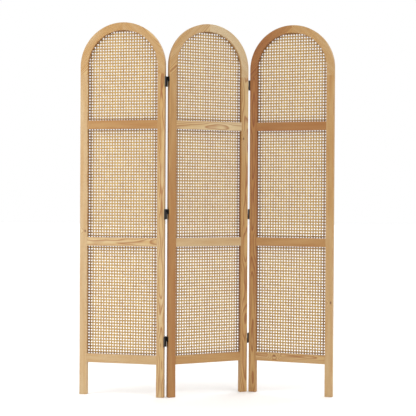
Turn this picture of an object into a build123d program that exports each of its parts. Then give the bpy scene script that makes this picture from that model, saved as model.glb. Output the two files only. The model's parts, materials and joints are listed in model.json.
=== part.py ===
from build123d import *
import os

# Folding room divider: three arched pine panels with cane webbing, joined by
# two-way hinges. Millimetres, +Z up. The screen stands half folded in a zigzag.
# +X runs across it, +Y goes from its front to its back, and the origin is on
# the floor under the middle of its bounding box.

# ---- overall sizes -------------------------------------------------------
panel_height = 1700.0      # floor to crown of the arch
panel_width = 400.0        # across one panel; the arch is a half circle
panel_thickness = 24.0
panel_gap = 7.0            # between neighbouring panels when they are in line

# ---- frame timber --------------------------------------------------------
stile_width = 35.0         # also the width of the arch band
rail_height = 40.0
edge_radius = 1.5          # eased long edges
leg_length = 148.0         # floor to underside of the bottom rail
middle_rail_bottom = 682.0
upper_rail_bottom = 1216.0
arch_tail = 35.0           # straight end of each arch quarter below the spring line

# ---- cane webbing, its rebate and its beads ------------------------------
front_lip = 17.0           # timber in front of the webbing
rebate_width = 8.0
webbing_thickness = 2.0
webbing_lap = 6.0          # webbing behind the lip, all round
bead_width = 7.0
bead_side_gap = 0.1        # bead to rebate wall
bead_setback = 0.3         # bead face below the back of the frame
bead_crown_gap = 0.2       # between the two curved beads at the crown

# ---- dowels --------------------------------------------------------------
dowel_diameter = 8.0
dowel_length = 30.0
dowel_gap = 0.05           # radial
dowel_end_room = 1.0
dowel_offset = 2.0         # towards the front, clear of the rebate
rail_dowel_spacing = 20.0
arch_dowel_spacing = 14.0
arch_dowel_inset = 10.0    # outer edge of the band to the first dowel

# ---- two-way hinges ------------------------------------------------------
hinge_height = 46.0
hinge_half_gap = 1.0       # between the lower (front) and upper (back) leaf
barrel_diameter = 7.0
plate_thickness = 1.4
pin_diameter = 4.0
pin_gap = 0.05             # radial, leaf knuckle on pin
pin_standoff = 0.75        # pin axis outside the face of the panel
pin_head_diameter = 5.4
pin_head_height = 0.8
link_knuckle = 5.5         # at the end of each pin, past the leaf's knuckle
knuckle_gap = 0.25
barrel_room = 0.3          # plate edge to a neighbouring knuckle
top_hinge_drop = 36.0      # stile-to-arch joint down to the top hinge's middle
middle_hinge_rise = 107.5  # middle rail up to the middle hinge's middle
low_hinge_rise = 64.0      # bottom rail up to the low hinge's middle

# ---- hinge screws --------------------------------------------------------
screw_diameter = 3.0
screw_head_diameter = 5.6
screw_length = 16.0
screw_tip = 3.0
screw_point_radius = 0.2
screw_gap = 0.05           # radial, shank in its holes
screw_end_room = 1.0
screw_spacing = 11.0
drive_width = 0.8
drive_span = 3.2
drive_depth = 0.9

# ---- how far the screen stands folded ------------------------------------
centre_turn = 25.6         # centre panel, anticlockwise from +X seen from above
left_fold = 38.5           # left panel folded back about the back pins
right_fold = 46.0          # right panel folded forward about the front pins

cut_margin = 1.0           # how far a cutter passes the face it opens

# ---- worked out ----------------------------------------------------------
half_width = panel_width / 2
half_thick = panel_thickness / 2
spring_z = panel_height - half_width
stile_top = spring_z - arch_tail
inner_half = half_width - stile_width
band_middle = half_width - stile_width / 2
bottom_rail_top = leg_length + rail_height
middle_rail_top = middle_rail_bottom + rail_height
upper_rail_top = upper_rail_bottom + rail_height
levels = ("lower", "middle", "upper")
rail_bottoms = {"bottom": leg_length, "middle": middle_rail_bottom, "upper": upper_rail_bottom}
webbing_front = -half_thick + front_lip
webbing_back = webbing_front + webbing_thickness
bead_back = half_thick - bead_setback
pin_y = half_thick + pin_standoff
half_hinge = (hinge_height - hinge_half_gap) / 2
half_hinge_z = (hinge_height + hinge_half_gap) / 4
leaf_knuckle = half_hinge - 2 * (link_knuckle + knuckle_gap)
joint_offset = half_width + panel_gap / 2
hinge_levels = {"low": bottom_rail_top + low_hinge_rise,
                "middle": middle_rail_top + middle_hinge_rise,
                "top": stile_top - top_hinge_drop}
plate_reach = pin_y - barrel_diameter / 2 - barrel_room   # hinge's middle to either edge of a plate
screw_heights = (-screw_spacing / 2, screw_spacing / 2)   # from the leaf's middle


def block(x, y, z):
    """Box between two limits on each axis, each given as (low, high)."""
    centre = [(low + high) / 2 for low, high in (x, y, z)]
    size = [high - low for low, high in (x, y, z)]
    return Pos(*centre) * Box(*size)


def arched_block(half, y, bottom):
    """Block with a half-round top about the spring line."""
    straight = block((-half, half), y, (bottom, spring_z))
    middle = (y[0] + y[1]) / 2
    disc = Pos(0, middle, spring_z) * Rot(90, 0, 0) * Cylinder(half, y[1] - y[0])
    return straight + (disc & block((-half, half), y, (spring_z, spring_z + half)))


def opening(level, grow, y):
    """Solid that fills one opening of the frame, grown all round, over a range of y."""
    half = inner_half + grow
    if level == "lower":
        return block((-half, half), y, (bottom_rail_top - grow, middle_rail_bottom + grow))
    if level == "middle":
        return block((-half, half), y, (middle_rail_top - grow, upper_rail_bottom + grow))
    return arched_block(half, y, upper_rail_top - grow)


def rebates():
    """The three rebates, as solids to cut away from the back of the frame."""
    return [opening(level, rebate_width, (webbing_front, half_thick + cut_margin)) for level in levels]


# ---- dowels --------------------------------------------------------------
def rod(radius, length, centre, along):
    """Cylinder about a centre, along X or Z."""
    turn = Rot(0, 90, 0) if along == "X" else Rot(0, 0, 0)
    return Pos(*centre) * turn * Cylinder(radius, length)


def dowel_places():
    """Centre and direction of every dowel in one panel."""
    places = []
    for bottom in rail_bottoms.values():
        for side in (-1, 1):
            for step in (-1, 1):
                z = bottom + rail_height / 2 + step * rail_dowel_spacing / 2
                places.append(((side * inner_half, -dowel_offset, z), "X"))
    for step in (0, 1):
        inset = arch_dowel_inset + step * arch_dowel_spacing
        for side in (-1, 1):
            places.append(((side * (half_width - inset), -dowel_offset, stile_top), "Z"))
        places.append(((0, -dowel_offset, panel_height - inset), "X"))
    return places


def dowels():
    radius = dowel_diameter / 2
    return [rod(radius, dowel_length, *place) for place in dowel_places()]


def dowel_holes():
    radius = dowel_diameter / 2 + dowel_gap
    return [rod(radius, dowel_length + 2 * dowel_end_room, *place) for place in dowel_places()]


# ---- frame timber --------------------------------------------------------
def stile(side, holes):
    """Upright on the left (-1) or right (+1), from the floor to the arch."""
    profile = Pos(side * band_middle, 0, 0) * RectangleRounded(
        stile_width, panel_thickness, edge_radius)
    return extrude(profile, stile_top) - rebates() - dowel_holes() - holes


def arch_quarter(side):
    """Quarter of the arch on the left (-1) or right (+1), with its straight tail."""
    section = RectangleRounded(stile_width, panel_thickness, edge_radius)
    tail = extrude(Pos(side * band_middle, 0, stile_top) * section, arch_tail)
    turn_axis = Axis((0, 0, spring_z), (0, -side, 0))
    bend = revolve(Pos(side * band_middle, 0, spring_z) * section, turn_axis, 90)
    return tail + bend - rebates() - dowel_holes()


def rail(bottom):
    """Cross rail between the stiles, its underside at the height given."""
    profile = Plane.YZ.offset(-inner_half) * Pos(0, bottom + rail_height / 2) * (
        RectangleRounded(panel_thickness, rail_height, edge_radius))
    return extrude(profile, 2 * inner_half) - rebates() - dowel_holes()


# ---- webbing and beads ---------------------------------------------------
def webbing(level):
    return opening(level, webbing_lap, (webbing_front, webbing_back))


def beads():
    """Strips that line each rebate behind the webbing, butted at the corners."""
    y = (webbing_back, bead_back)
    outer = rebate_width - bead_side_gap
    inner = outer - bead_width
    strips = []
    for level in levels:
        frame = opening(level, outer, y) - opening(level, inner, y)
        box = frame.bounding_box()
        across = (-inner_half - inner, inner_half + inner)
        bottom = block(across, y, (box.min.Z, box.min.Z + bead_width))
        sides = frame - block(across, y, (box.min.Z - cut_margin, box.min.Z + bead_width))
        if level == "upper":
            cut = (-bead_crown_gap / 2, bead_crown_gap / 2)
            sides = sides - block(cut, y, (spring_z, panel_height))
        else:
            top = block(across, y, (box.max.Z - bead_width, box.max.Z))
            sides = sides - block(across, y, (box.max.Z - bead_width, box.max.Z + cut_margin))
            strips.append(top)
        strips.append(bottom)
        strips.extend(sides.solids())
    return strips


# ---- hinges, drawn with the panels in line and the gap's middle at x = 0 --
def knuckle(span, bore_gap):
    """Rolled knuckle on the front pin, over a (low, high) range of heights."""
    length, centre = span[1] - span[0], (span[0] + span[1]) / 2
    ring = Cylinder(barrel_diameter / 2, length) - Cylinder(pin_diameter / 2 + bore_gap, length)
    return Pos(0, -pin_y, centre) * ring


def plate(x, span):
    """Plate between the barrels, over a (low, high) range of heights."""
    return block(x, (-plate_reach, plate_reach), span)


def tongue(x, span):
    """Strip that joins a knuckle on the front pin to its plate."""
    strip = block(x, (-pin_y, -plate_reach), span)
    bore = Cylinder(pin_diameter / 2 + pin_gap, span[1] - span[0])
    return strip - Pos(0, -pin_y, (span[0] + span[1]) / 2) * bore


def about(middle, length):
    """(low, high) range of a length about its middle."""
    return (middle - length / 2, middle + length / 2)


def leaf(middle):
    """Leaf on the left-hand panel's edge, knuckled to a front pin, about the height given."""
    x = (-panel_gap / 2, -panel_gap / 2 + plate_thickness)
    on_pin = about(middle, leaf_knuckle)
    whole = plate(x, about(middle, half_hinge)) + tongue(x, on_pin) + knuckle(on_pin, pin_gap)
    return whole - [screw_cutter(middle + dz) for dz in screw_heights]


def front_leaf():
    """Leaf on the left-hand panel's edge: the hinge's lower half, on the front pin."""
    return leaf(-half_hinge_z)


def back_leaf():
    """Leaf on the right-hand panel's edge: the hinge's upper half, on the back pin."""
    return Rot(0, 0, 180) * leaf(half_hinge_z)


def link():
    """Plate between the pins, knuckled to the whole of both but for the leaves' knuckles."""
    x = (-plate_thickness / 2, plate_thickness / 2)
    spans = [(-hinge_height / 2, -hinge_height / 2 + link_knuckle),
             (-half_hinge_z + leaf_knuckle / 2 + knuckle_gap, hinge_height / 2)]
    front = [knuckle(span, 0) for span in spans] + [tongue(x, span) for span in spans]
    back = [Rot(180, 0, 0) * shape for shape in front]
    return plate(x, about(0, hinge_height)) + front + back


def hinge_pins():
    """Front pin, headed below, and back pin, headed above."""
    shank = Pos(0, -pin_y, 0) * Cylinder(pin_diameter / 2, hinge_height)
    head_z = -hinge_height / 2 - pin_head_height / 2
    front = shank + Pos(0, -pin_y, head_z) * Cylinder(pin_head_diameter / 2, pin_head_height)
    return [front, Rot(180, 0, 0) * front]


# ---- screws --------------------------------------------------------------
def screw():
    """Countersunk wood screw along -X, the head's face at x = 0."""
    head_depth = (screw_head_diameter - screw_diameter) / 2
    shank_length = screw_length - head_depth - screw_tip
    radius = screw_diameter / 2
    head = Pos(-head_depth / 2, 0, 0) * Rot(0, 90, 0) * Cone(
        radius, screw_head_diameter / 2, head_depth)
    shank = Pos(-head_depth - shank_length / 2, 0, 0) * Rot(0, 90, 0) * Cylinder(
        radius, shank_length)
    tip = Pos(-screw_length + screw_tip / 2, 0, 0) * Rot(0, 90, 0) * Cone(
        screw_point_radius, radius, screw_tip)
    slots = [Box(2 * drive_depth, drive_span, drive_width), Box(2 * drive_depth, drive_width, drive_span)]
    return head + shank + tip - slots


def screw_cutter(z):
    """Countersunk hole through a front leaf, for the screw at that height."""
    face = -panel_gap / 2 + plate_thickness
    head_depth = (screw_head_diameter - screw_diameter) / 2
    hole = rod(screw_diameter / 2 + screw_gap, 2 * (plate_thickness + cut_margin), (face, 0, z), "X")
    sink = Pos(face - head_depth / 2, 0, z) * Rot(0, 90, 0) * Cone(
        screw_diameter / 2 + screw_gap, screw_head_diameter / 2 + screw_gap, head_depth)
    return hole + sink


def screw_places(side):
    """Height of every hinge screw in a panel's left (-1) or right (+1) edge."""
    return [level - side * half_hinge_z + dz
            for level in hinge_levels.values() for dz in screw_heights]


def edge_screws(side):
    """Screws of the leaves on a panel's left (-1) or right (+1) edge, in the panel's frame."""
    turn = Rot(0, 0, 0) if side > 0 else Rot(0, 0, 180)
    drive_face = half_width + plate_thickness
    return [Pos(side * drive_face, 0, z) * turn * screw() for z in screw_places(side)]


def screw_holes(side):
    """Holes in a stile for the screws of its hinge leaves."""
    reach = screw_length - plate_thickness + screw_end_room
    x = side * (half_width - reach / 2)
    return [rod(screw_diameter / 2 + screw_gap, reach, (x, 0, z), "X") for z in screw_places(side)]


# ---- where everything stands ---------------------------------------------
centre_frame = Rot(0, 0, centre_turn)
left_pivot = Pos(-joint_offset, pin_y, 0)
right_pivot = Pos(joint_offset, -pin_y, 0)
left_frame = centre_frame * left_pivot * Rot(0, 0, -left_fold) * Pos(-joint_offset, -pin_y, 0)
right_frame = centre_frame * right_pivot * Rot(0, 0, -right_fold) * Pos(joint_offset, pin_y, 0)
panel_frames = {"left": left_frame, "centre": centre_frame, "right": right_frame}
hinged_edges = {"left": (1,), "centre": (-1, 1), "right": (-1,)}
# Each joint: the panel on its left, the panel on its right, and the frame its links stand in.
joints = {"left": ("left", "centre", left_frame * Pos(joint_offset, 0, 0)),
          "right": ("centre", "right", right_frame * Pos(-joint_offset, 0, 0))}


def panel_pieces(name):
    """Every piece of one panel but its hinge leaves, in the panel's own frame."""
    edges = hinged_edges[name]
    pieces = {}
    for side, word in ((-1, "left"), (1, "right")):
        holes = screw_holes(side) if side in edges else []
        pieces[f"{word}_stile"] = stile(side, holes)
        pieces[f"{word}_arch"] = arch_quarter(side)
    for word, bottom in rail_bottoms.items():
        pieces[f"{word}_rail"] = rail(bottom)
    for level in levels:
        pieces[f"{level}_webbing"] = webbing(level)
    pieces["webbing_beads"] = beads()
    pieces["dowels"] = dowels()
    pieces["hinge_screws"] = [one for side in edges for one in edge_screws(side)]
    return pieces


def assembly():
    """Every node by name, placed as the screen stands."""
    nodes = {}
    for name, frame in panel_frames.items():
        for word, shape in panel_pieces(name).items():
            shapes = shape if isinstance(shape, list) else [shape]
            nodes[f"{name}_panel_{word}"] = [frame * one for one in shapes]
    for name, (left_hand, right_hand, link_frame) in joints.items():
        nodes[f"{name}_hinge_pins"] = []
        for word, level in hinge_levels.items():
            lift = Pos(0, 0, level)
            on_left = panel_frames[left_hand] * Pos(joint_offset, 0, 0) * lift
            on_right = panel_frames[right_hand] * Pos(-joint_offset, 0, 0) * lift
            nodes[f"{name}_hinge_{word}_front_leaf"] = [on_left * front_leaf()]
            nodes[f"{name}_hinge_{word}_link"] = [link_frame * lift * link()]
            nodes[f"{name}_hinge_{word}_back_leaf"] = [on_right * back_leaf()]
            nodes[f"{name}_hinge_pins"] += [link_frame * lift * pin for pin in hinge_pins()]
    return nodes


nodes = assembly()
box = Compound(children=[Compound(children=shapes) for shapes in nodes.values()]).bounding_box()
to_origin = Pos(-box.center().X, -box.center().Y, 0)

os.makedirs("parts", exist_ok=True)
for node, shapes in nodes.items():
    solids = [to_origin * solid for shape in shapes for solid in shape.solids()]
    export_step(solids[0] if len(solids) == 1 else Compound(children=solids), f"parts/{node}.step")
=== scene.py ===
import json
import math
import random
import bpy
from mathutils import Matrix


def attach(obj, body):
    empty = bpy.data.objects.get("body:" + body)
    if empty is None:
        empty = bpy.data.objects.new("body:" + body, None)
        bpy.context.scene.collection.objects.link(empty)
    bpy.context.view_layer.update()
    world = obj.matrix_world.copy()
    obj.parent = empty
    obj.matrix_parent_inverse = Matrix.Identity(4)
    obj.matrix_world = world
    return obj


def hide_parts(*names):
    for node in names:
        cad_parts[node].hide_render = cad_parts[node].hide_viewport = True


bl_info = {
    "name": "Folding Cane Screen",
    "version": (1, 0, 0),
    "blender": (4, 5, 0),
    "location": "3D View > Sidebar > Screen",
    "description": "Dresses a three-panel arched pine screen with cane webbing around its fixed frame",
    "category": "Add Mesh",
}

import bmesh
import bpy
import numpy as np
from mathutils import Matrix, Vector

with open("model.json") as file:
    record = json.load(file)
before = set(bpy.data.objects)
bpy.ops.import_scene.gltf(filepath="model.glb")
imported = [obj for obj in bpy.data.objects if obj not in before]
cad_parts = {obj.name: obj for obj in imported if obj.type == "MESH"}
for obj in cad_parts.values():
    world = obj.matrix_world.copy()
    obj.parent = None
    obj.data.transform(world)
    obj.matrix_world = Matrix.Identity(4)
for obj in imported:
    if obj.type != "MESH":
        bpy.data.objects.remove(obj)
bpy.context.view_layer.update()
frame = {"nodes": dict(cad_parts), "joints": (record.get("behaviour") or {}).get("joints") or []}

MM = 0.001
CLOSE = 1e-5                    # points this near a plane lie on it
PANELS = ("left", "centre", "right")
SIDES = {"left": -1, "right": 1}
MIX_A, MIX_B, MIX_RESULT = 6, 7, 2    # colour sockets of a Mix node


# ---- where the panels stand ------------------------------------------------
pins = {joint["name"]: Vector(joint["pos_m"]) for joint in frame["joints"]}
pin_span = (pins["left_back_pins"] - pins["left_front_pins"]).length
centre_run = pins["right_front_pins"] - pins["left_back_pins"]
joint_offset = math.sqrt(centre_run.length_squared - pin_span ** 2) / 2


def upright_at(front_pin, back_pin):
    """Frame midway between a joint's pins, its +Y from the front pin to the back one."""
    depth = back_pin - front_pin
    turn = math.atan2(-depth.x, depth.y)
    return Matrix.Translation((front_pin + back_pin) / 2) @ Matrix.Rotation(turn, 4, "Z")


centre_turn = math.atan2(centre_run.y, centre_run.x) + math.atan2(pin_span, 2 * joint_offset)
PANEL_FRAMES = {
    "left": upright_at(pins["left_front_pins"], pins["left_back_pins"])
    @ Matrix.Translation((-joint_offset, 0, 0)),
    "centre": Matrix.Translation((pins["left_back_pins"] + pins["right_front_pins"]) / 2)
    @ Matrix.Rotation(centre_turn, 4, "Z"),
    "right": upright_at(pins["right_front_pins"], pins["right_back_pins"])
    @ Matrix.Translation((joint_offset, 0, 0)),
}


def own_box(panel, word):
    """(low, high) on each axis of a CAD piece, in its panel's own frame."""
    back = PANEL_FRAMES[panel].inverted()
    points = [back @ v.co for v in frame["nodes"][f"{panel}_panel_{word}"].data.vertices]
    return [(min(p[i] for p in points), max(p[i] for p in points)) for i in range(3)]


stile_box = own_box("left", "right_stile")
RAILS = {word: own_box("left", f"{word}_rail")[2] for word in ("bottom", "middle", "upper")}
SHEETS = {level: own_box("left", f"{level}_webbing") for level in ("lower", "middle", "upper")}
inner_half = stile_box[0][0]
half_width = stile_box[0][1]
front_y, back_y = stile_box[1]
stile_top = stile_box[2][1]
crown = own_box("left", "right_arch")[2][1]
spring = crown - half_width
webbing_front, webbing_back = SHEETS["lower"][1]
OPENINGS = {
    "lower": (RAILS["bottom"][1], RAILS["middle"][0]),
    "middle": (RAILS["middle"][1], RAILS["upper"][0]),
    "upper": (RAILS["upper"][1], None),
}


def linear(hex_colour):
    """Linear RGB of an sRGB hex colour."""
    parts = [int(hex_colour[i:i + 2], 16) / 255 for i in (0, 2, 4)]
    return [c / 12.92 if c <= 0.04045 else ((c + 0.055) / 1.055) ** 2.4 for c in parts]


def length(name, description, default):
    """A size in millimetres, stored in metres."""
    return bpy.props.FloatProperty(
        name=name, description=description, default=default * MM, min=0, unit="LENGTH", precision=4)


def colour(name, description, default):
    return bpy.props.FloatVectorProperty(
        name=name, description=description, default=linear(default), size=3, min=0, max=1,
        subtype="COLOR")


# ---- sizes and colours that a user would change ----------------------------
class SCREEN_PG_timber(bpy.types.PropertyGroup):
    edge_radius: length("Edge radius", "Rounding of the long edges of every board", 1.5)
    end_ease: length("End ease", "Small chamfer on sawn ends, which shows as a joint line", 0.4)
    rebate_width: length("Rebate width", "Width of the rebate behind the front lip", 8)
    ring_spacing: length("Ring spacing", "Growth ring spacing of slow-grown pine", 3.2)
    arch_steps: bpy.props.IntProperty(
        name="Arch steps", description="Facets in each quarter of the arch", default=48, min=12)


class SCREEN_PG_webbing(bpy.types.PropertyGroup):
    pitch_across: length("Pitch across", "Distance between upright pairs of strands", 12.8)
    pitch_up: length("Pitch up", "Distance between level pairs of strands", 13.3)
    strand_width: length("Strand width", "Width of upright and level strands", 2.6)
    pair_spacing: length("Pair spacing", "Between the middles of the two strands of a pair", 2.8)
    diagonal_width: length("Diagonal width", "Width of the slanting strands", 2.7)
    thickness: length("Thickness", "Thickness of one strand", 0.5)
    lift: length("Lift", "How far a strand rises or dips at a crossing", 0.45)
    wander: length("Wander", "Unevenness of the strands in the sheet", 0.25)


class SCREEN_PG_beads(bpy.types.PropertyGroup):
    width: length("Width", "Width of the bead that holds the webbing", 7)
    rounding: length("Rounding", "Radius of the bead's exposed corner", 3)
    side_gap: length("Side gap", "Between the bead and the rebate wall", 0.1)
    setback: length("Setback", "Bead face below the back of the frame", 0.3)


class SCREEN_PG_colours(bpy.types.PropertyGroup):
    cream: colour("Cream pine", "Palest sapwood", "D0BE97")
    straw: colour("Straw pine", "Pale sapwood", "C9AF82")
    honey: colour("Honey pine", "Ordinary sapwood under lacquer", "BD985F")
    amber: colour("Amber pine", "Between sapwood and heartwood", "AB7D43")
    russet: colour("Russet pine", "Heartwood", "A0692F")
    chestnut: colour("Chestnut pine", "Darkest heartwood", "905A23")
    latewood: colour("Latewood", "Tint of the dark line that ends each year's ring", "BC8654")
    knot: colour("Knot", "Middle of a knot", "6E4527")
    cane_pale: colour("Pale cane", "Fresh outer skin of the cane", "CEAE6C")
    cane_dark: colour("Dark cane", "Sunburnt strands of the cane", "A67D48")
    cane_node: colour("Cane node", "Brown ring where a leaf grew", "8A6237")
    black_coat: colour("Black coat", "Coating of the hinges", "1B1918")
    beech: colour("Beech", "Dowels", "C79F74")
    floor: colour("Floor", "Studio floor", "F8F8F8")


class SCREEN_PG_studio(bpy.types.PropertyGroup):
    distance: bpy.props.FloatProperty(
        name="Distance", description="Camera to the middle of the screen", default=5.19, unit="LENGTH")
    eye_height: bpy.props.FloatProperty(
        name="Eye height", description="Camera above the floor", default=0.918, unit="LENGTH")
    lens: bpy.props.FloatProperty(
        name="Lens", description="Focal length on a 36 mm frame", default=97.7, unit="CAMERA")
    left: bpy.props.FloatProperty(
        name="Left", description="Power in watts of the softbox in front, to the left", default=52, min=0)
    right: bpy.props.FloatProperty(
        name="Right", description="Strength of the softbox in front, far to the right", default=0.9, min=0)
    overhead: bpy.props.FloatProperty(
        name="Overhead", description="Strength of the softbox overhead", default=1.2, min=0)
    back: bpy.props.FloatProperty(
        name="Back", description="Strength of the softbox behind the screen", default=1.0, min=0)
    ambient: bpy.props.FloatProperty(
        name="Ambient", description="Brightness of the white surroundings", default=0.5, min=0)


# ---- mesh helpers ----------------------------------------------------------
def cut(bm, point, normal, drop=False):
    """Cuts everything by a plane; drop removes what lies on the normal's side."""
    bmesh.ops.bisect_plane(
        bm, geom=bm.verts[:] + bm.edges[:] + bm.faces[:], dist=1e-7,
        plane_co=point, plane_no=normal, clear_outer=drop)


def ring(bm, corners, rounded, radius, segments=3):
    """Closed outline through the corners, with a radius on the numbered ones. Returns its edges."""
    before_edges, before_faces = set(bm.edges), set(bm.faces)
    verts = [bm.verts.new(corner) for corner in corners]
    bm.faces.new(verts)
    if rounded:
        bmesh.ops.bevel(
            bm, geom=[verts[i] for i in rounded], offset=radius, segments=segments,
            profile=0.5, affect="VERTICES", material=-1)
    faces = [face for face in bm.faces if face not in before_faces]
    bmesh.ops.delete(bm, geom=faces, context="FACES_ONLY")
    return [edge for edge in bm.edges if edge not in before_edges]


def push(bm, edges, offset):
    """Extrudes an outline and moves the new end. Returns the new end's edges."""
    made = bmesh.ops.extrude_edge_only(bm, edges=edges)["geom"]
    verts = [g for g in made if isinstance(g, bmesh.types.BMVert)]
    bmesh.ops.translate(bm, verts=verts, vec=offset)
    fresh = set(verts)
    return [g for g in made if isinstance(g, bmesh.types.BMEdge) and set(g.verts) <= fresh]


def close_ends(bm):
    bmesh.ops.holes_fill(bm, edges=[e for e in bm.edges if e.is_boundary], sides=0)
    bmesh.ops.recalc_face_normals(bm, faces=bm.faces)


def ease_ends(bm, on_end, width):
    """Chamfers the edges whose two vertices both pass a test."""
    edges = [e for e in bm.edges if all(on_end(v.co) for v in e.verts)]
    bmesh.ops.bevel(
        bm, geom=edges, offset=width, segments=1, profile=0.5, affect="EDGES", material=-1,
        offset_type="OFFSET")


def to_mesh(bm, name):
    """A new mesh of a bmesh's shape, with smooth shading."""
    mesh = bpy.data.meshes.new(name)
    bm.to_mesh(mesh)
    bm.free()
    mesh.polygons.foreach_set("use_smooth", [True] * len(mesh.polygons))
    return mesh


def mount(mesh, panel, material, node):
    """Makes a mesh in the panel's frame a piece that rides on the panel in a node's place."""
    mesh.transform(PANEL_FRAMES[panel])
    mesh.materials.append(material)
    piece = bpy.data.objects.new(mesh.name, mesh)
    bpy.context.scene.collection.objects.link(piece)
    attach(piece, f"{panel}_panel")
    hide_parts(node)
    return piece


def timber_piece(bm, name, panel, material, node):
    """Mounts a bmesh whose edges show sharp where they turn by more than a rounding's facet."""
    mesh = to_mesh(bm, name)
    mesh.set_sharp_from_angle(angle=math.radians(10))
    return mount(mesh, panel, material, node)


def store(mesh, name, kind, values):
    """Stores a number or a vector for each point of a mesh."""
    field = "vector" if kind == "FLOAT_VECTOR" else "value"
    data = mesh.attributes.new(name, kind, "POINT").data
    data.foreach_set(field, np.asarray(values, dtype=np.float32).ravel())


# ---- how each board was cut and stained by age -----------------------------
# Tones run from 0, palest cream, to 1, darkest chestnut, foot to head of an upright
# board, left to right of a rail, and tail to crown of an arch.
TONES = {
    "left_panel_left_stile": (0.2, 0.2, 0.25),
    "left_panel_right_stile": (0.3, 0.25, 0.4),
    "left_panel_bottom_rail": (0.25, 0.2),
    "left_panel_middle_rail": (0.2, 0.3),
    "left_panel_upper_rail": (0.5, 0.55),
    "left_panel_left_arch": (0.35, 0.35, 0.4),
    "left_panel_right_arch": (0.35, 0.35),
    "centre_panel_left_stile": (0.6, 0.64, 0.62, 0.5, 0.4),
    "centre_panel_right_stile": (0.46, 0.46, 0.48, 0.38, 0.28),
    "centre_panel_bottom_rail": (0.4, 0.45),
    "centre_panel_middle_rail": (0.2, 0.24),
    "centre_panel_upper_rail": (0.3, 0.12),
    "centre_panel_left_arch": (0.4, 0.3),
    "centre_panel_right_arch": (0.1, 0.0),
    "right_panel_left_stile": (0.48, 0.52, 0.66, 0.72, 0.82),
    "right_panel_right_stile": (0.25, 0.44),
    "right_panel_bottom_rail": (0.35, 0.37),
    "right_panel_middle_rail": (0.52, 0.52),
    "right_panel_upper_rail": (0.66, 0.66),
    "right_panel_left_arch": (0.85, 0.8, 0.55),
    "right_panel_right_arch": (0.36, 0.38),
    "left_panel_webbing_beads": (0.3, 0.35),
    "centre_panel_webbing_beads": (0.5, 0.4),
    "right_panel_webbing_beads": (0.55, 0.5),
}
# Painted shade: faces that line an opening darken by this much towards the webbing, standing in for the
# shade in the recess.
PAINTED_RECESS_SHADE = 0.45
# Knots, as (along, across) from the board's low end and its middle, in millimetres.
KNOTS = {
    "left_panel_left_stile": (750, 8),
    "right_panel_bottom_rail": (90, 6),
    "centre_panel_right_stile": (1180, -7),
    "right_panel_right_stile": (430, 9),
    "centre_panel_left_arch": (170, 4),
}


def mark_board(piece, node, panel, along, across, progress):
    """Stores where each point lies in the board that the piece was cut from, and its tone, with painted
    shade where it lines an opening.

    The pith, in the middle of the rings, is below a flat-sawn board and off to one side of
    the others. along and across measure a point in metres, and progress runs from 0 to 1.
    """
    rng = random.Random(node)
    start = rng.uniform(0, 9)
    flat_sawn = rng.random() < 0.45
    pith_across = (rng.uniform(-0.02, 0.02) if flat_sawn
                   else rng.choice((-1, 1)) * rng.uniform(0.05, 0.09))
    pith_depth = rng.uniform(0.03, 0.06)
    back = PANEL_FRAMES[panel].inverted()
    stops = TONES[node]
    places = [i / (len(stops) - 1) for i in range(len(stops))]
    knot = KNOTS.get(node)
    board, from_knot, tones = [], [], []
    for vertex in piece.data.vertices:
        p = back @ vertex.co
        a, c = along(p), across(p)
        board += [a + start, c + pith_across, p.y + pith_depth]
        from_knot += [a - knot[0] * MM, c - knot[1] * MM, p.y] if knot else [1.0, 1.0, 0.0]
        # Painted shade: points on the webbing's plane, at the back of each opening's lip, take a darker
        # tone.
        beside_webbing = abs(p.y - webbing_front) < 10 * CLOSE
        tones.append(np.interp(progress(p), places, stops) + (PAINTED_RECESS_SHADE if beside_webbing else 0))
    store(piece.data, "board", "FLOAT_VECTOR", board)
    store(piece.data, "from_knot", "FLOAT_VECTOR", from_knot)
    store(piece.data, "tone", "FLOAT", tones)


# ---- materials -------------------------------------------------------------
def add(tree, kind, settings=None, links=None):
    """Adds a node, with its settings, and its inputs as values or as sockets to link from."""
    made = tree.nodes.new(kind)
    for name, value in (settings or {}).items():
        setattr(made, name, value)
    for name, value in (links or {}).items():
        if isinstance(value, bpy.types.NodeSocket):
            tree.links.new(value, made.inputs[name])
        else:
            made.inputs[name].default_value = value
    return made


def blank(name):
    """A new node material with only its output, and its tree."""
    material = bpy.data.materials.new(name)
    material.use_nodes = True
    tree = material.node_tree
    tree.nodes.clear()
    return material, tree, tree.nodes.new("ShaderNodeOutputMaterial")


def rgba(value):
    return (*value, 1.0)


def fill_ramp(ramp, stops):
    """Sets a colour ramp's stops, given as (place, colour)."""
    elements = ramp.color_ramp.elements
    while len(elements) < len(stops):
        elements.new(0.5)
    for element, (place, value) in zip(elements, stops):
        element.position = place
        element.color = value


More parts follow.
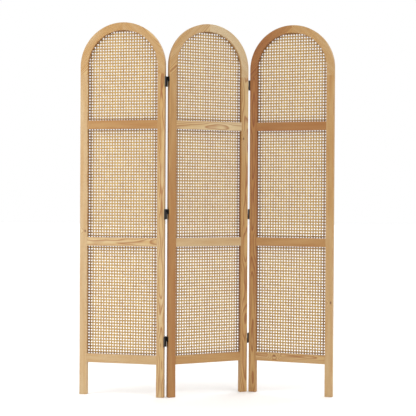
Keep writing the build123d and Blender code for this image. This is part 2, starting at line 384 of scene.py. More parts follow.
# Pine, planed and clear lacquered: soft pale wood whose rings show as thin warm lines
# of latewood, with fine fibre streaks and a few resin dashes under a matt film.
def lacquered_pine(name, ring_spacing, colours):
    material, tree, output = blank(name)
    board = add(tree, "ShaderNodeAttribute", {"attribute_name": "board"})
    tone = add(tree, "ShaderNodeAttribute", {"attribute_name": "tone"})
    from_knot = add(tree, "ShaderNodeAttribute", {"attribute_name": "from_knot"})
    mm = add(tree, "ShaderNodeVectorMath", {"operation": "SCALE"},
             {"Vector": board.outputs["Vector"], "Scale": 1000.0})

    # A knot is a dark oval, 8 mm across and 13 mm long, that pushes the rings out round it.
    oval = add(tree, "ShaderNodeVectorMath", {"operation": "MULTIPLY"},
               {0: from_knot.outputs["Vector"], 1: (620.0, 1000.0, 0.0)})
    reach = add(tree, "ShaderNodeVectorMath", {"operation": "LENGTH"}, {0: oval.outputs["Vector"]})
    swirl = add(tree, "ShaderNodeMapRange", {"interpolation_type": "SMOOTHERSTEP"},
                {"Value": reach.outputs["Value"], "From Min": 2.0, "From Max": 26.0,
                 "To Min": 11.0, "To Max": 0.0})
    core = add(tree, "ShaderNodeMapRange", {"interpolation_type": "SMOOTHSTEP"},
               {"Value": reach.outputs["Value"], "From Min": 2.6, "From Max": 5.2,
                "To Min": 0.85, "To Max": 0.0})

    # Rings: distance from the pith, with a drift over 60 mm across the board and 290 mm along it.
    slow = add(tree, "ShaderNodeVectorMath", {"operation": "MULTIPLY"},
               {0: mm.outputs["Vector"], 1: (0.0035, 0.016, 0.016)})
    drift = add(tree, "ShaderNodeTexNoise", None,
                {"Vector": slow.outputs["Vector"], "Scale": 1.0, "Detail": 2.0, "Roughness": 0.45})
    flat = add(tree, "ShaderNodeVectorMath", {"operation": "MULTIPLY"},
               {0: mm.outputs["Vector"], 1: (0.0, 1.0, 1.0)})
    radius = add(tree, "ShaderNodeVectorMath", {"operation": "LENGTH"}, {0: flat.outputs["Vector"]})
    drifted = add(tree, "ShaderNodeMath", {"operation": "MULTIPLY_ADD"},
                  {0: drift.outputs["Fac"], 1: 26.0, 2: radius.outputs["Value"]})
    swirled = add(tree, "ShaderNodeMath", {"operation": "ADD"},
                  {0: drifted.outputs["Value"], 1: swirl.outputs["Result"]})
    turns = add(tree, "ShaderNodeMath", {"operation": "DIVIDE"},
                {0: swirled.outputs["Value"], 1: ring_spacing / MM})
    year = add(tree, "ShaderNodeMath", {"operation": "FRACT"}, {0: turns.outputs["Value"]})
    latewood = add(tree, "ShaderNodeValToRGB", None, {"Fac": year.outputs["Value"]})
    # Through one year the ring darkens slowly, and then ends at once.
    fill_ramp(latewood, [(place, rgba((grey, grey, grey))) for place, grey in (
        (0.0, 0.35), (0.12, 0.0), (0.5, 0.1), (0.86, 1.0), (0.96, 0.9))])

    # Fibres, 0.4 mm wide and some 17 mm long, and resin dashes, 1 mm wide and 9 mm long.
    fine = add(tree, "ShaderNodeVectorMath", {"operation": "MULTIPLY"},
               {0: mm.outputs["Vector"], 1: (0.06, 2.4, 2.4)})
    fibre = add(tree, "ShaderNodeTexNoise", None,
                {"Vector": fine.outputs["Vector"], "Scale": 1.0, "Detail": 3.0, "Roughness": 0.6})
    dash_place = add(tree, "ShaderNodeVectorMath", {"operation": "MULTIPLY"},
                     {0: mm.outputs["Vector"], 1: (0.11, 1.1, 1.1)})
    dash_noise = add(tree, "ShaderNodeTexNoise", None,
                     {"Vector": dash_place.outputs["Vector"], "Scale": 1.0, "Detail": 1.0})
    dashes = add(tree, "ShaderNodeMapRange", {"interpolation_type": "SMOOTHSTEP"},
                 {"Value": dash_noise.outputs["Fac"], "From Min": 0.69, "From Max": 0.76,
                  "To Min": 0.0, "To Max": 0.4})

    # Tone: the board's own, with painted shade where it lines an opening, and cloudy patches 200 mm long
    # and 18 mm wide.
    patch_place = add(tree, "ShaderNodeVectorMath", {"operation": "MULTIPLY"},
                      {0: mm.outputs["Vector"], 1: (0.005, 0.055, 0.055)})
    patches = add(tree, "ShaderNodeTexNoise", None,
                  {"Vector": patch_place.outputs["Vector"], "Scale": 1.0, "Detail": 3.0})
    patch_shift = add(tree, "ShaderNodeMath", {"operation": "MULTIPLY_ADD"},
                      {0: patches.outputs["Fac"], 1: 0.44, 2: -0.22})
    shade = add(tree, "ShaderNodeMath", {"operation": "ADD", "use_clamp": True},
                {0: tone.outputs["Fac"], 1: patch_shift.outputs["Value"]})
    body = add(tree, "ShaderNodeValToRGB", None, {"Fac": shade.outputs["Value"]})
    words = ("cream", "straw", "honey", "amber", "russet", "chestnut")
    fill_ramp(body, [(i / 5, rgba(getattr(colours, word))) for i, word in enumerate(words)])

    ring_share = add(tree, "ShaderNodeMath", {"operation": "MULTIPLY"},
                     {0: latewood.outputs["Color"], 1: 0.75})
    ringed = add(tree, "ShaderNodeMix", {"data_type": "RGBA", "blend_type": "MULTIPLY"},
                 {"Factor": ring_share.outputs["Value"], MIX_A: body.outputs["Color"],
                  MIX_B: rgba(colours.latewood)})
    streak = add(tree, "ShaderNodeMapRange", None,
                 {"Value": fibre.outputs["Fac"], "From Min": 0.3, "From Max": 0.7,
                  "To Min": 0.93, "To Max": 1.07})
    streaked = add(tree, "ShaderNodeVectorMath", {"operation": "SCALE"},
                   {0: ringed.outputs[MIX_RESULT], "Scale": streak.outputs["Result"]})
    dashed = add(tree, "ShaderNodeMix", {"data_type": "RGBA"},
                 {"Factor": dashes.outputs["Result"], MIX_A: streaked.outputs["Vector"],
                  MIX_B: rgba(colours.knot)})
    knotted = add(tree, "ShaderNodeMix", {"data_type": "RGBA"},
                  {"Factor": core.outputs["Result"], MIX_A: dashed.outputs[MIX_RESULT],
                   MIX_B: rgba(colours.knot)})

    rough = add(tree, "ShaderNodeMapRange", None,
                {"Value": fibre.outputs["Fac"], "From Min": 0.2, "From Max": 0.8,
                 "To Min": 0.42, "To Max": 0.58})
    relief = add(tree, "ShaderNodeMath", {"operation": "MULTIPLY_ADD"},
                 {0: latewood.outputs["Color"], 1: 0.5, 2: fibre.outputs["Fac"]})
    bump = add(tree, "ShaderNodeBump", None,
               {"Height": relief.outputs["Value"], "Strength": 0.35, "Distance": 0.00012})
    shader = add(tree, "ShaderNodeBsdfPrincipled", None,
                 {"Base Color": knotted.outputs[MIX_RESULT], "Roughness": rough.outputs["Result"],
                  "IOR": 1.5, "Normal": bump.outputs["Normal"]})
    tree.links.new(shader.outputs["BSDF"], output.inputs["Surface"])
    return material


# Rattan cane, split and woven with its skin outwards: straw coloured, no two strands alike,
# with a low sheen, faint lengthwise fibres, a brown node now and then, and painted shade by the frame.
def woven_cane(name, colours):
    material, tree, output = blank(name)
    # The attribute holds metres along the strand, the strand's number and metres across it.
    strand = add(tree, "ShaderNodeAttribute", {"attribute_name": "strand"})
    parts = add(tree, "ShaderNodeSeparateXYZ", None, {0: strand.outputs["Vector"]})
    own = add(tree, "ShaderNodeTexWhiteNoise", {"noise_dimensions": "1D"}, {"W": parts.outputs["Y"]})
    # Each strand has its own shade, which changes over 45 mm along it.
    long_place = add(tree, "ShaderNodeVectorMath", {"operation": "MULTIPLY"},
                     {0: strand.outputs["Vector"], 1: (22.0, 3.7, 0.0)})
    cloud = add(tree, "ShaderNodeTexNoise", None,
                {"Vector": long_place.outputs["Vector"], "Scale": 1.0, "Detail": 2.0})
    mixed = add(tree, "ShaderNodeMath", {"operation": "MULTIPLY_ADD"},
                {0: own.outputs["Value"], 1: 0.3, 2: cloud.outputs["Fac"]})
    share = add(tree, "ShaderNodeMapRange", {"interpolation_type": "SMOOTHSTEP"},
                {"Value": mixed.outputs["Value"], "From Min": 0.3, "From Max": 1.0})
    body = add(tree, "ShaderNodeMix", {"data_type": "RGBA"},
               {"Factor": share.outputs["Result"], MIX_A: rgba(colours.cane_pale),
                MIX_B: rgba(colours.cane_dark)})
    # Fibres 0.25 mm apart run along the skin.
    fibre_place = add(tree, "ShaderNodeVectorMath", {"operation": "MULTIPLY"},
                      {0: strand.outputs["Vector"], 1: (60.0, 5.3, 4000.0)})
    fibre = add(tree, "ShaderNodeTexNoise", None,
                {"Vector": fibre_place.outputs["Vector"], "Scale": 1.0, "Detail": 2.0})
    streak = add(tree, "ShaderNodeMapRange", None,
                 {"Value": fibre.outputs["Fac"], "From Min": 0.3, "From Max": 0.7,
                  "To Min": 0.9, "To Max": 1.08})
    streaked = add(tree, "ShaderNodeVectorMath", {"operation": "SCALE"},
                   {0: body.outputs[MIX_RESULT], "Scale": streak.outputs["Result"]})
    # Nodes: brown rings, some 9 mm long, a few on each strand.
    node_place = add(tree, "ShaderNodeVectorMath", {"operation": "MULTIPLY"},
                     {0: strand.outputs["Vector"], 1: (110.0, 9.1, 0.0)})
    node_noise = add(tree, "ShaderNodeTexNoise", None,
                     {"Vector": node_place.outputs["Vector"], "Scale": 1.0, "Detail": 0.0})
    at_node = add(tree, "ShaderNodeMapRange", {"interpolation_type": "SMOOTHSTEP"},
                  {"Value": node_noise.outputs["Fac"], "From Min": 0.77, "From Max": 0.84,
                   "To Min": 0.0, "To Max": 0.6})
    noded = add(tree, "ShaderNodeMix", {"data_type": "RGBA"},
                {"Factor": at_node.outputs["Result"], MIX_A: streaked.outputs["Vector"],
                 MIX_B: rgba(colours.cane_node)})
    # Painted shade: beside the frame the cane is darkened towards the node brown, standing in for the
    # shade that the frame's lip casts on it.
    inset = add(tree, "ShaderNodeAttribute", {"attribute_name": "inset"})
    painted_shade = add(tree, "ShaderNodeMapRange", {"interpolation_type": "SMOOTHSTEP"},
               {"Value": inset.outputs["Fac"], "From Min": 0.004, "From Max": 0.025,
                "To Min": 0.85, "To Max": 0.0})
    shaded_cane = add(tree, "ShaderNodeMix", {"data_type": "RGBA"},
                 {"Factor": painted_shade.outputs["Result"], MIX_A: noded.outputs[MIX_RESULT],
                  MIX_B: rgba(colours.cane_node)})
    bump = add(tree, "ShaderNodeBump", None,
               {"Height": fibre.outputs["Fac"], "Strength": 0.25, "Distance": 0.0001})
    shader = add(tree, "ShaderNodeBsdfPrincipled", None,
                 {"Base Color": shaded_cane.outputs[MIX_RESULT], "Roughness": 0.4, "IOR": 1.5,
                  "Normal": bump.outputs["Normal"]})
    tree.links.new(shader.outputs["BSDF"], output.inputs["Surface"])
    return material


# Pressed steel, black powder coated: near black, satin, with a fine orange-peel texture and
# handling marks some 7 mm across.
def black_coated_steel(name, colours, roughness, peel_mm):
    material, tree, output = blank(name)
    place = add(tree, "ShaderNodeTexCoord")
    peel = add(tree, "ShaderNodeTexNoise", None,
               {"Vector": place.outputs["Object"], "Scale": 1000.0 / peel_mm, "Detail": 2.0})
    worn = add(tree, "ShaderNodeTexNoise", None,
               {"Vector": place.outputs["Object"], "Scale": 140.0, "Detail": 3.0})
    tint = add(tree, "ShaderNodeMix", {"data_type": "RGBA"},
               {"Factor": worn.outputs["Fac"], MIX_A: rgba(colours.black_coat),
                MIX_B: rgba([c * 1.9 for c in colours.black_coat])})
    gloss = add(tree, "ShaderNodeMapRange", None,
                {"Value": worn.outputs["Fac"], "From Min": 0.3, "From Max": 0.7,
                 "To Min": roughness - 0.05, "To Max": roughness + 0.08})
    bump = add(tree, "ShaderNodeBump", None,
               {"Height": peel.outputs["Fac"], "Strength": 0.3, "Distance": 0.00006})
    shader = add(tree, "ShaderNodeBsdfPrincipled", None,
                 {"Base Color": tint.outputs[MIX_RESULT], "Roughness": gloss.outputs["Result"], "IOR": 1.5,
                  "Normal": bump.outputs["Normal"]})
    tree.links.new(shader.outputs["BSDF"], output.inputs["Surface"])
    return material


# Beech, turned: plain pinkish wood with darker flecks, 1 mm wide and 3 mm long.
def turned_beech(name, colours):
    material, tree, output = blank(name)
    place = add(tree, "ShaderNodeTexCoord")
    fleck_place = add(tree, "ShaderNodeMapping", None,
                      {"Vector": place.outputs["Object"], "Scale": (900.0, 900.0, 350.0)})
    fleck = add(tree, "ShaderNodeTexNoise", None,
                {"Vector": fleck_place.outputs["Vector"], "Scale": 1.0, "Detail": 2.0})
    share = add(tree, "ShaderNodeMapRange", {"interpolation_type": "SMOOTHSTEP"},
                {"Value": fleck.outputs["Fac"], "From Min": 0.55, "From Max": 0.68,
                 "To Min": 0.0, "To Max": 0.5})
    tint = add(tree, "ShaderNodeMix", {"data_type": "RGBA"},
               {"Factor": share.outputs["Result"], MIX_A: rgba(colours.beech),
                MIX_B: rgba([c * 0.6 for c in colours.beech])})
    bump = add(tree, "ShaderNodeBump", None,
               {"Height": fleck.outputs["Fac"], "Strength": 0.2, "Distance": 0.0001})
    shader = add(tree, "ShaderNodeBsdfPrincipled", None,
                 {"Base Color": tint.outputs[MIX_RESULT], "Roughness": 0.6, "IOR": 1.5,
                  "Normal": bump.outputs["Normal"]})
    tree.links.new(shader.outputs["BSDF"], output.inputs["Surface"])
    return material


# Studio floor, matt white paint: even, with hardly any reflection.
def matt_floor_paint(name, colours):
    material, tree, output = blank(name)
    shader = add(tree, "ShaderNodeBsdfPrincipled", None,
                 {"Base Color": rgba(colours.floor), "Roughness": 0.9, "IOR": 1.3})
    tree.links.new(shader.outputs["BSDF"], output.inputs["Surface"])
    return material


def shared(name, make, *values):
    """The named material, made the first time that it is asked for."""
    return bpy.data.materials.get(name) or make(name, *values)


def pine_finish(context):
    return shared("Pine, planed and matt lacquered", lacquered_pine,
                  context.scene.screen_timber.ring_spacing, context.scene.screen_colours)


# ---- boards ----------------------------------------------------------------
# Boards are cut across into sections, so that the tone can change along them.
STILE_SECTIONS = 12
RAIL_SECTIONS = 4


class SCREEN_OT_stiles(bpy.types.Operator):
    """Uprights of every panel, rebated behind each opening"""
    bl_idname = "screen.stiles"
    bl_label = "Stiles"

    def execute(self, context):
        timber = context.scene.screen_timber
        for panel in PANELS:
            for word, side in SIDES.items():
                node = f"{panel}_panel_{word}_stile"
                bm = bmesh.new()
                self.shape(bm, timber, side)
                piece = timber_piece(bm, f"{node}_board", panel, pine_finish(context), node)
                mark_board(piece, node, panel, lambda p: p.z,
                           lambda p, s=side: p.x - s * (inner_half + half_width) / 2,
                           lambda p: p.z / stile_top)
        return {"FINISHED"}

    def shape(self, bm, timber, side):
        rebate = timber.rebate_width
        wall = inner_half + rebate
        size = (half_width - inner_half, webbing_front - front_y, stile_top)
        middle = ((inner_half + half_width) / 2, (front_y + webbing_front) / 2, stile_top / 2)
        bmesh.ops.create_cube(
            bm, size=1, matrix=Matrix.Translation(middle) @ Matrix.Diagonal((*size, 1)))
        cut(bm, (wall, 0, 0), (1, 0, 0))
        for low, high in OPENINGS.values():
            cut(bm, (0, 0, low - rebate), (0, 0, 1))
            if high:
                cut(bm, (0, 0, high + rebate), (0, 0, 1))

        def kept(face):
            centre = face.calc_center_median()
            if face.normal.y < 0.5:
                return False
            return centre.x > wall or not any(
                low - rebate < centre.z < (high or crown) + rebate for low, high in OPENINGS.values())

        back = [face for face in bm.faces if kept(face)]
        raised = bmesh.ops.extrude_face_region(bm, geom=back)["geom"]
        bmesh.ops.delete(bm, geom=[face for face in back if face.is_valid], context="FACES_ONLY")
        bmesh.ops.translate(
            bm, verts=[g for g in raised if isinstance(g, bmesh.types.BMVert)],
            vec=(0, back_y - webbing_front, 0))
        bmesh.ops.dissolve_limit(
            bm, angle_limit=math.radians(1), verts=bm.verts, edges=bm.edges, delimit=set())
        long_edges = []
        for edge in bm.edges:
            a, b = (v.co for v in edge.verts)
            upright = abs(a.x - b.x) < CLOSE and abs(a.y - b.y) < CLOSE
            on_x = min(abs(a.x - inner_half), abs(a.x - half_width)) < CLOSE
            on_y = min(abs(a.y - front_y), abs(a.y - back_y)) < CLOSE
            if upright and on_x and on_y:
                long_edges.append(edge)
        bmesh.ops.bevel(
            bm, geom=long_edges, offset=timber.edge_radius, segments=3, profile=0.5,
            affect="EDGES", material=-1)
        ease_ends(bm, lambda p: p.z < CLOSE, 2 * timber.end_ease)
        ease_ends(bm, lambda p: p.z > stile_top - CLOSE, timber.end_ease)
        for step in range(1, STILE_SECTIONS):
            cut(bm, (0, 0, stile_top * step / STILE_SECTIONS), (0, 0, 1))
        if side < 0:
            bmesh.ops.mirror(bm, geom=bm.verts[:] + bm.edges[:] + bm.faces[:], axis="X", merge_dist=-1)
            cut(bm, (0, 0, 0), (1, 0, 0), drop=True)
        bmesh.ops.recalc_face_normals(bm, faces=bm.faces)


def quarter_share(x, z):
    """How far round a quarter of the arch a point is: 0 at the spring line, 1 at the crown."""
    return math.atan2(max(z, 0), max(x, 1e-9)) * 2 / math.pi


class SCREEN_OT_arches(bpy.types.Operator):
    """Quarters of every arch, each sawn from a board whose grain runs along its chord"""
    bl_idname = "screen.arches"
    bl_label = "Arches"

    def execute(self, context):
        timber = context.scene.screen_timber
        for panel in PANELS:
            for word, side in SIDES.items():
                node = f"{panel}_panel_{word}_arch"
                bm = bmesh.new()
                self.shape(bm, timber, side)
                piece = timber_piece(bm, f"{node}_board", panel, pine_finish(context), node)
                chord = Vector((-side, 0, 1)).normalized()
                out = Vector((side, 0, 1)).normalized()
                foot = Vector((side * half_width, 0, stile_top))
                mark_board(piece, node, panel,
                           lambda p, d=chord, f=foot: (p - f).dot(d),
                           lambda p, d=out, f=foot: (p - f).dot(d),
                           lambda p, s=side: quarter_share(s * p.x, p.z - spring))
        return {"FINISHED"}

    def shape(self, bm, timber, side):
        wall = inner_half + timber.rebate_width
        outline = [(inner_half, front_y), (half_width, front_y), (half_width, back_y),
                   (wall, back_y), (wall, webbing_front), (inner_half, webbing_front)]
        edges = ring(bm, [(side * x, y, stile_top) for x, y in outline], (0, 1, 2), timber.edge_radius)
        edges = push(bm, edges, (0, 0, spring - stile_top))
        bmesh.ops.spin(
            bm, geom=edges, cent=(0, 0, spring), axis=(0, -side, 0), dvec=(0, 0, 0),
            angle=math.pi / 2, steps=timber.arch_steps, use_duplicate=False)
        close_ends(bm)
        ease_ends(bm, lambda p: p.z < stile_top + CLOSE, timber.end_ease)
        ease_ends(bm, lambda p: abs(p.x) < CLOSE, timber.end_ease)


class SCREEN_OT_rails(bpy.types.Operator):
    """Cross rails of every panel, rebated behind the openings they border"""
    bl_idname = "screen.rails"
    bl_label = "Rails"

    def execute(self, context):
        timber = context.scene.screen_timber
        for panel in PANELS:
            for word, (low, high) in RAILS.items():
                node = f"{panel}_panel_{word}_rail"
                bm = bmesh.new()
                self.shape(bm, timber, low, high, word != "bottom")
                piece = timber_piece(bm, f"{node}_board", panel, pine_finish(context), node)
                mark_board(piece, node, panel, lambda p: p.x + inner_half,
                           lambda p, m=(low + high) / 2: p.z - m,
                           lambda p: (p.x + inner_half) / (2 * inner_half))
        return {"FINISHED"}

    def shape(self, bm, timber, low, high, rebated_below):
        rebate = timber.rebate_width
        outline = [(front_y, low), (front_y, high), (webbing_front, high),
                   (webbing_front, high - rebate), (back_y, high - rebate)]
        if rebated_below:
            outline += [(back_y, low + rebate), (webbing_front, low + rebate), (webbing_front, low)]
            rounded = (0, 1)
        else:
            outline += [(back_y, low)]
            rounded = (0, 1, 5)
        edges = ring(bm, [(-inner_half, y, z) for y, z in outline], rounded, timber.edge_radius)
        push(bm, edges, (2 * inner_half, 0, 0))
        close_ends(bm)
        ease_ends(bm, lambda p: abs(p.x) > inner_half - CLOSE, timber.end_ease)
        for step in range(1, RAIL_SECTIONS):
            cut(bm, (inner_half * (2 * step / RAIL_SECTIONS - 1), 0, 0), (1, 0, 0))


# ---- webbing ---------------------------------------------------------------
UPRIGHT, LEVEL, RISING, FALLING = range(4)
# Corners of a strand's section, as shares of its width and thickness: flat back, narrower front.
STRAND_SECTION = ((-0.5, 0.5), (0.5, 0.5), (0.27, -0.5), (-0.27, -0.5))
ARCH_CUTS = 24                  # straight cuts that trim an arched sheet to its half circle
LEAN = 0.12 * MM                # most that one strand is out of its place
PAINTED_SHADE_AT_RAILS = 2.2             # how many times narrower the painted shade band is along rails and arches


def lay_strand(bm, family, points, side, width, thickness):
    """One strand of the weave's unit: the section pushed through points."""
    tag = bm.verts.layers.int["family"]
    side = Vector(side).normalized()
    first = Vector(points[0])
    verts = [bm.verts.new(first + side * (u * width) + Vector((0, v * thickness, 0)))
             for u, v in STRAND_SECTION]
    for vert in verts:
        vert[tag] = family
    edges = [bm.edges.new((verts[i], verts[(i + 1) % 4])) for i in range(4)]
    for here, there in zip(points, points[1:]):
        edges = push(bm, edges, Vector(there) - Vector(here))
        for edge in edges:
            for vert in edge.verts:
                vert[tag] = family


def repeat(bm, step, count):
    """Repeats everything so far along a step."""
    unit = bm.verts[:] + bm.edges[:] + bm.faces[:]
    for i in range(1, count):
        copy = bmesh.ops.duplicate(bm, geom=unit)["geom"]
        bmesh.ops.translate(
            bm, verts=[g for g in copy if isinstance(g, bmesh.types.BMVert)], vec=Vector(step) * i)


def weave(webbing, box, arched):
    """The six-way weave, cut to one sheet's outline, as a mesh in the panel's frame."""
    px, pz = webbing.pitch_across, webbing.pitch_up
    half_pair, lift = webbing.pair_spacing / 2, webbing.lift
    middle_y = (webbing_front + webbing_back) / 2
    (x_low, x_high), _, (z_low, z_high) = box
    columns = math.ceil((x_high - x_low) / px) + 2
    rows = math.ceil((z_high - z_low) / pz) + 2
    bm = bmesh.new()
    bm.verts.layers.int.new("family")
    for step in (-1, 1):
        # The strands of a pair go over and under in turn, as in plain weave.
        x = step * half_pair
        lay_strand(bm, UPRIGHT,
                   [(x, -step * lift, -half_pair), (x, step * lift, half_pair), (x, 0, pz / 2),
                    (x, -step * lift, pz - half_pair)],
                   (1, 0, 0), webbing.strand_width, webbing.thickness)
        z = step * half_pair
        lay_strand(bm, LEVEL,
                   [(-half_pair, step * lift, z), (half_pair, -step * lift, z), (px / 2, 0, z),
                    (px - half_pair, step * lift, z)],
                   (0, 0, 1), webbing.strand_width, webbing.thickness)
    # Rising strands pass behind uprights and in front of level ones; falling ones the other way.
    over = webbing.thickness + 0.1 * MM
    lay_strand(bm, RISING, [(px / 2, -over, 0), (px, over, pz / 2), (px * 1.5, -over, pz)],
               (pz, 0, -px), webbing.diagonal_width, webbing.thickness)
    lay_strand(bm, FALLING, [(px / 2, over, pz), (px, -over, pz / 2), (px * 1.5, over, 0)],
               (pz, 0, px), webbing.diagonal_width, webbing.thickness)
    repeat(bm, (px, 0, 0), columns)
    repeat(bm, (0, 0, pz), rows)
    bmesh.ops.remove_doubles(bm, verts=bm.verts, dist=CLOSE / 2)
    bmesh.ops.translate(bm, verts=bm.verts, vec=(-(columns // 2) * px, middle_y, z_low - pz))
    cut(bm, (x_low, 0, 0), (-1, 0, 0), drop=True)
    cut(bm, (x_high, 0, 0), (1, 0, 0), drop=True)
    cut(bm, (0, 0, z_low), (0, 0, -1), drop=True)
    if arched:
        for step in range(1, ARCH_CUTS):
            angle = math.pi * step / ARCH_CUTS
            out = Vector((math.cos(angle), 0, math.sin(angle)))
            cut(bm, Vector((0, 0, spring)) + out * x_high, out, drop=True)
    else:
        cut(bm, (0, 0, z_high), (0, 0, 1), drop=True)
    close_ends(bm)
    return to_mesh(bm, "weave")


def coordinates(mesh):
    """A mesh's points as an array with a row for each."""
    co = np.zeros(len(mesh.vertices) * 3)
    mesh.vertices.foreach_get("co", co)
    return co.reshape(-1, 3)


def number_strands(mesh, webbing, z_start):
    """Stores each point's place along and across its own strand. Returns its family and number."""
    co = coordinates(mesh)
    family = np.zeros(len(co), dtype=np.int32)
    mesh.attributes["family"].data.foreach_get("value", family)
    px, pz = webbing.pitch_across, webbing.pitch_up
    x, z = co[:, 0], co[:, 2] - z_start
    run = math.hypot(px, pz)
    along = np.choose(family, [z, x, (x / px + z / pz) * run / 2, (x / px - z / pz) * run / 2])
    place = np.choose(family, [x / px, z / pz, x / px - z / pz, x / px + z / pz])
    paired = family <= LEVEL
    pair = np.rint(place)
    right_half = place > pair
    number = np.where(paired, 2 * pair + right_half, 2 * np.floor(place))
    across = np.where(paired, (place - pair) * np.where(family == UPRIGHT, px, pz)
                      - np.where(right_half, 1, -1) * webbing.pair_spacing / 2,
                      (place - np.floor(place) - 0.5) * px * pz / run)
    # No two strands share a number: 400 apart is more than one family has.
    number = number + 400 * family + 0.5
    store(mesh, "strand", "FLOAT_VECTOR", np.stack([along, number, across], axis=1))
    return family, number


def mark_painted_shade(mesh, opening):
    """Stores each point's distance in from its opening's edge, stretched along rails and arches, for the
    painted shade beside the frame.
    """
    co = coordinates(mesh)
    z_low, z_high = opening
    x, above_spring = np.abs(co[:, 0]), co[:, 2] - spring
    if z_high is None:
        below_top = inner_half - np.hypot(x, np.maximum(above_spring, 0))
        below_top = np.where(above_spring > 0, below_top, inner_half)
    else:
        below_top = z_high - co[:, 2]
    beside = inner_half - x + np.maximum(above_spring, 0)
    inset = np.minimum(beside, PAINTED_SHADE_AT_RAILS * np.minimum(below_top, co[:, 2] - z_low))
    store(mesh, "inset", "FLOAT", inset)


def loosen(mesh, webbing, family, number, seed):
    """Lets the sheet wander in slow waves and each strand lean out of its place."""
    co = coordinates(mesh)
    rng = np.random.default_rng(seed)
    moved = co.copy()
    for _ in range(4):
        wave = rng.uniform(12, 40, 2) * rng.choice((-1, 1), 2)
        shift = rng.uniform(-1, 1, 3) * webbing.wander / 2
        phase = rng.uniform(0, 6.28)
        moved += np.sin(co[:, 0] * wave[0] + co[:, 2] * wave[1] + phase)[:, None] * shift
    leans = rng.uniform(-LEAN, LEAN, 4096)
    own = leans[np.abs(number.astype(int)) % len(leans)]
    moved[:, 0] += np.where(family == UPRIGHT, own, 0)
    moved[:, 2] += np.where(family == LEVEL, own, 0)
    mesh.vertices.foreach_set("co", moved.astype(np.float32).ravel())


class SCREEN_OT_webbing(bpy.types.Operator):
    """Sheets of six-way cane webbing behind every opening"""
    bl_idname = "screen.webbing"
    bl_label = "Cane webbing"

    def execute(self, context):
        webbing = context.scene.screen_webbing
        cane = shared("Rattan cane, woven skin side out", woven_cane, context.scene.screen_colours)
        for row, (level, box) in enumerate(SHEETS.items()):
            sheet = weave(webbing, box, level == "upper")
            for column, panel in enumerate(PANELS):
                node = f"{panel}_panel_{level}_webbing"
                mesh = sheet.copy()
                mesh.name = f"{node}_cane"
                family, number = number_strands(mesh, webbing, box[2][0])
                # Painted shade: the cane darkens near the frame, standing in for the shade of its lip.
                mark_painted_shade(mesh, OPENINGS[level])
                loosen(mesh, webbing, family, number, 10 * row + column)
                mount(mesh, panel, cane, node)
            bpy.data.meshes.remove(sheet)
        return {"FINISHED"}


# ---- beads -----------------------------------------------------------------
BEAD_SEGMENTS = 5
OTHER_LENGTH = 5                # metres between the two sides' places in the grain


def up_the_side(p):
    """Distance up an upright bead and on round the arch; each side has its own length of wood."""
    round_arch = math.atan2(p.z - spring, abs(p.x)) * half_width if p.z > spring else 0
    return min(p.z, spring) + round_arch + (OTHER_LENGTH if p.x < 0 else 0)


def out_from_middle(p):
    return math.hypot(p.x, max(p.z - spring, 0))


class SCREEN_OT_beads(bpy.types.Operator):
    """Rounded strips that hold the webbing in its rebates, seen from the back"""
    bl_idname = "screen.beads"
    bl_label = "Webbing beads"

    def execute(self, context):
        beads, timber = context.scene.screen_beads, context.scene.screen_timber
        runs = (("cross", self.cross, lambda p: p.x, lambda p: p.z),
                ("upright", self.upright, up_the_side, out_from_middle))
        for panel in PANELS:
            node = f"{panel}_panel_webbing_beads"
            for word, shape, along, across in runs:
                bm = bmesh.new()
                for low, high in OPENINGS.values():
                    shape(bm, beads, timber, low, high)
                close_ends(bm)
                piece = timber_piece(
                    bm, f"{node}_{word}", panel, pine_finish(context), node)
                mark_board(piece, node, panel, along, across, lambda p: p.z / crown)
        return {"FINISHED"}

    def cross(self, bm, beads, timber, low, high):
        """The beads along the rails that border one opening, between its upright beads."""
        reach = timber.rebate_width - beads.side_gap
        inner = inner_half + reach - beads.width
        face = back_y - beads.setback
        levels = [(low - reach, low - reach + beads.width)]
        if high:
            levels.append((high + reach, high + reach - beads.width))
        for against, free in levels:
            outline = [(-inner, webbing_back, against), (-inner, webbing_back, free),
                       (-inner, face, free), (-inner, face, against)]
            push(bm, ring(bm, outline, (2,), beads.rounding, BEAD_SEGMENTS), (2 * inner, 0, 0))

    def upright(self, bm, beads, timber, low, high):
        """The two beads up the sides of one opening, which meet at the crown of an arched one."""
        reach = timber.rebate_width - beads.side_gap
        outer = inner_half + reach
        inner = outer - beads.width
        face = back_y - beads.setback
        foot = low - reach
        for side in (-1, 1):
            outline = [(side * outer, webbing_back, foot), (side * inner, webbing_back, foot),
                       (side * inner, face, foot), (side * outer, face, foot)]
            edges = ring(bm, outline, (2,), beads.rounding, BEAD_SEGMENTS)
            edges = push(bm, edges, (0, 0, (high + reach if high else spring) - foot))
            if not high:
                bmesh.ops.spin(
                    bm, geom=edges, cent=(0, 0, spring), axis=(0, -side, 0), dvec=(0, 0, 0),
                    angle=math.pi / 2 - beads.side_gap / inner, steps=timber.arch_steps,
                    use_duplicate=False)


# ---- finishes of the pieces kept from the frame -----------------------------
class SCREEN_OT_fittings(bpy.types.Operator):
    """Finishes for the hinges, pins, screws and dowels, whose shapes are the frame's own"""
    bl_idname = "screen.fittings"
    bl_label = "Fittings"

    def execute(self, context):
        colours = context.scene.screen_colours
        coated = shared("Steel, pressed and black powder coated", black_coated_steel, colours, 0.4, 0.5)
        finishes = {
            "_leaf": coated,
            "_link": coated,
            "_pins": shared("Steel pin, blackened", black_coated_steel, colours, 0.32, 0.35),
            "_screws": shared("Steel screw, blackened", black_coated_steel, colours, 0.35, 0.3),
            "_dowels": shared("Beech, turned", turned_beech, colours),
        }
        for name, piece in frame["nodes"].items():
            for ending, material in finishes.items():
                if name.endswith(ending):
                    piece.data.materials.clear()
                    piece.data.materials.append(material)
        return {"FINISHED"}


# ---- studio ------------------------------------------------------------------
FLOOR_HALF = 30                 # metres
FLOOR_DROP = 0.5 * MM           # keeps the floor clear of the sawn ends of the legs
SOFTBOX_SIZE = (1.6, 2.2)       # metres
SOFTBOX_PLACE = Vector((-3.0, -1.2, 1.7))
SOFTBOX_TARGET = Vector((0, 0, 0.8))
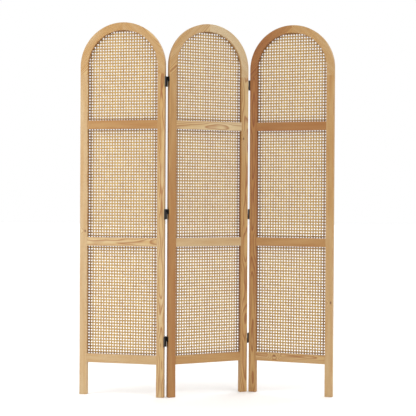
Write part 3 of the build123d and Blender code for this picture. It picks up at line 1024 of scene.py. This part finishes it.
# Far softboxes: direction towards each, and its spread in degrees.
FAR_SOFTBOXES = {
    "right": ((0.9, -0.5, 0.55), 35),
    "overhead": ((0.1, -0.2, 1.0), 80),
    "back": ((0.5, 0.9, 0.9), 60),
}
# The camera stands a little to the right, looks slightly down and is slightly out of level.
CAMERA_ASIDE = 0.00575
CAMERA_DOWN = 0.0116            # radians
CAMERA_ROLL = 0.0052            # radians


def add_lamp(scene, name, kind, power, back):
    """A lamp whose back faces a direction, so that it shines the other way."""
    light = bpy.data.lights.new(name, kind)
    light.energy = power
    lamp = bpy.data.objects.new(name, light)
    lamp.rotation_euler = Vector(back).to_track_quat("Z", "Y").to_euler()
    scene.collection.objects.link(lamp)
    return lamp


class SCREEN_OT_studio(bpy.types.Operator):
    """Pale floor, soft lights and the camera"""
    bl_idname = "screen.studio"
    bl_label = "Studio"

    def execute(self, context):
        scene, studio = context.scene, context.scene.screen_studio
        scene.view_settings.view_transform = "Standard"
        scene.view_settings.look = "None"
        self.floor(scene)
        self.surroundings(scene, studio)
        self.lights(scene, studio)
        self.camera(scene, studio)
        return {"FINISHED"}

    def floor(self, scene):
        bm = bmesh.new()
        bmesh.ops.create_grid(bm, x_segments=1, y_segments=1, size=FLOOR_HALF)
        bmesh.ops.translate(bm, verts=bm.verts, vec=(0, 0, -FLOOR_DROP))
        mesh = to_mesh(bm, "studio_floor")
        mesh.materials.append(shared("Floor, matt white paint", matt_floor_paint, scene.screen_colours))
        floor = bpy.data.objects.new("studio_floor", mesh)
        scene.collection.objects.link(floor)

    def surroundings(self, scene, studio):
        """White all round, dimmer as a light than it looks."""
        scene.world = bpy.data.worlds.new("white surroundings")
        scene.world.use_nodes = True
        tree = scene.world.node_tree
        tree.nodes.clear()
        seen = add(tree, "ShaderNodeLightPath")
        glow = add(tree, "ShaderNodeBackground", None,
                   {"Color": (1, 1, 1, 1), "Strength": studio.ambient})
        backdrop = add(tree, "ShaderNodeBackground", None, {"Color": (1, 1, 1, 1), "Strength": 1.0})
        both = add(tree, "ShaderNodeMixShader", None,
                   {0: seen.outputs["Is Camera Ray"], 1: glow.outputs[0], 2: backdrop.outputs[0]})
        add(tree, "ShaderNodeOutputWorld", None, {"Surface": both.outputs[0]})

    def lights(self, scene, studio):
        """A near softbox to the left, and far ones to the right, overhead and behind.

        Those at the sides leave each opening's far wall in shade.
        """
        lamp = add_lamp(scene, "left softbox", "AREA", studio.left, SOFTBOX_PLACE - SOFTBOX_TARGET)
        lamp.location = SOFTBOX_PLACE
        lamp.data.shape = "RECTANGLE"
        lamp.data.size, lamp.data.size_y = SOFTBOX_SIZE
        for word, (towards, spread) in FAR_SOFTBOXES.items():
            lamp = add_lamp(scene, f"{word} softbox", "SUN", getattr(studio, word), towards)
            lamp.data.angle = math.radians(spread)

    def camera(self, scene, studio):
        data = bpy.data.cameras.new("camera")
        data.lens = studio.lens
        data.sensor_width = 36
        camera = bpy.data.objects.new("camera", data)
        camera.matrix_world = (
            Matrix.Translation((CAMERA_ASIDE, -studio.distance, studio.eye_height))
            @ Matrix.Rotation(math.pi / 2 - CAMERA_DOWN, 4, "X")
            @ Matrix.Rotation(CAMERA_ROLL, 4, "Z"))
        scene.collection.objects.link(camera)
        scene.camera = camera


# ---- sidebar -----------------------------------------------------------------
PROPERTY_GROUPS = {
    "screen_timber": SCREEN_PG_timber,
    "screen_webbing": SCREEN_PG_webbing,
    "screen_beads": SCREEN_PG_beads,
    "screen_colours": SCREEN_PG_colours,
    "screen_studio": SCREEN_PG_studio,
}
STEPS = (SCREEN_OT_stiles, SCREEN_OT_arches, SCREEN_OT_rails, SCREEN_OT_webbing, SCREEN_OT_beads,
         SCREEN_OT_fittings, SCREEN_OT_studio)


class SCREEN_PT_sidebar(bpy.types.Panel):
    """Sizes, colours and steps of the screen"""
    bl_idname = "SCREEN_PT_sidebar"
    bl_label = "Folding cane screen"
    bl_space_type = "VIEW_3D"
    bl_region_type = "UI"
    bl_category = "Screen"

    def draw(self, context):
        for group, kind in PROPERTY_GROUPS.items():
            box = self.layout.box()
            for name in kind.__annotations__:
                box.prop(getattr(context.scene, group), name)
        for step in STEPS:
            self.layout.operator(step.bl_idname)


def register():
    for kind in (*PROPERTY_GROUPS.values(), *STEPS, SCREEN_PT_sidebar):
        bpy.utils.register_class(kind)
    for group, kind in PROPERTY_GROUPS.items():
        setattr(bpy.types.Scene, group, bpy.props.PointerProperty(type=kind))


def unregister():
    for group in PROPERTY_GROUPS:
        delattr(bpy.types.Scene, group)
    for kind in reversed((*PROPERTY_GROUPS.values(), *STEPS, SCREEN_PT_sidebar)):
        bpy.utils.unregister_class(kind)


def main():
    register()
    bpy.ops.screen.stiles()
    bpy.ops.screen.arches()
    bpy.ops.screen.rails()
    bpy.ops.screen.webbing()
    bpy.ops.screen.beads()
    bpy.ops.screen.fittings()
    bpy.ops.screen.studio()


if __name__ == "__main__":
    main()
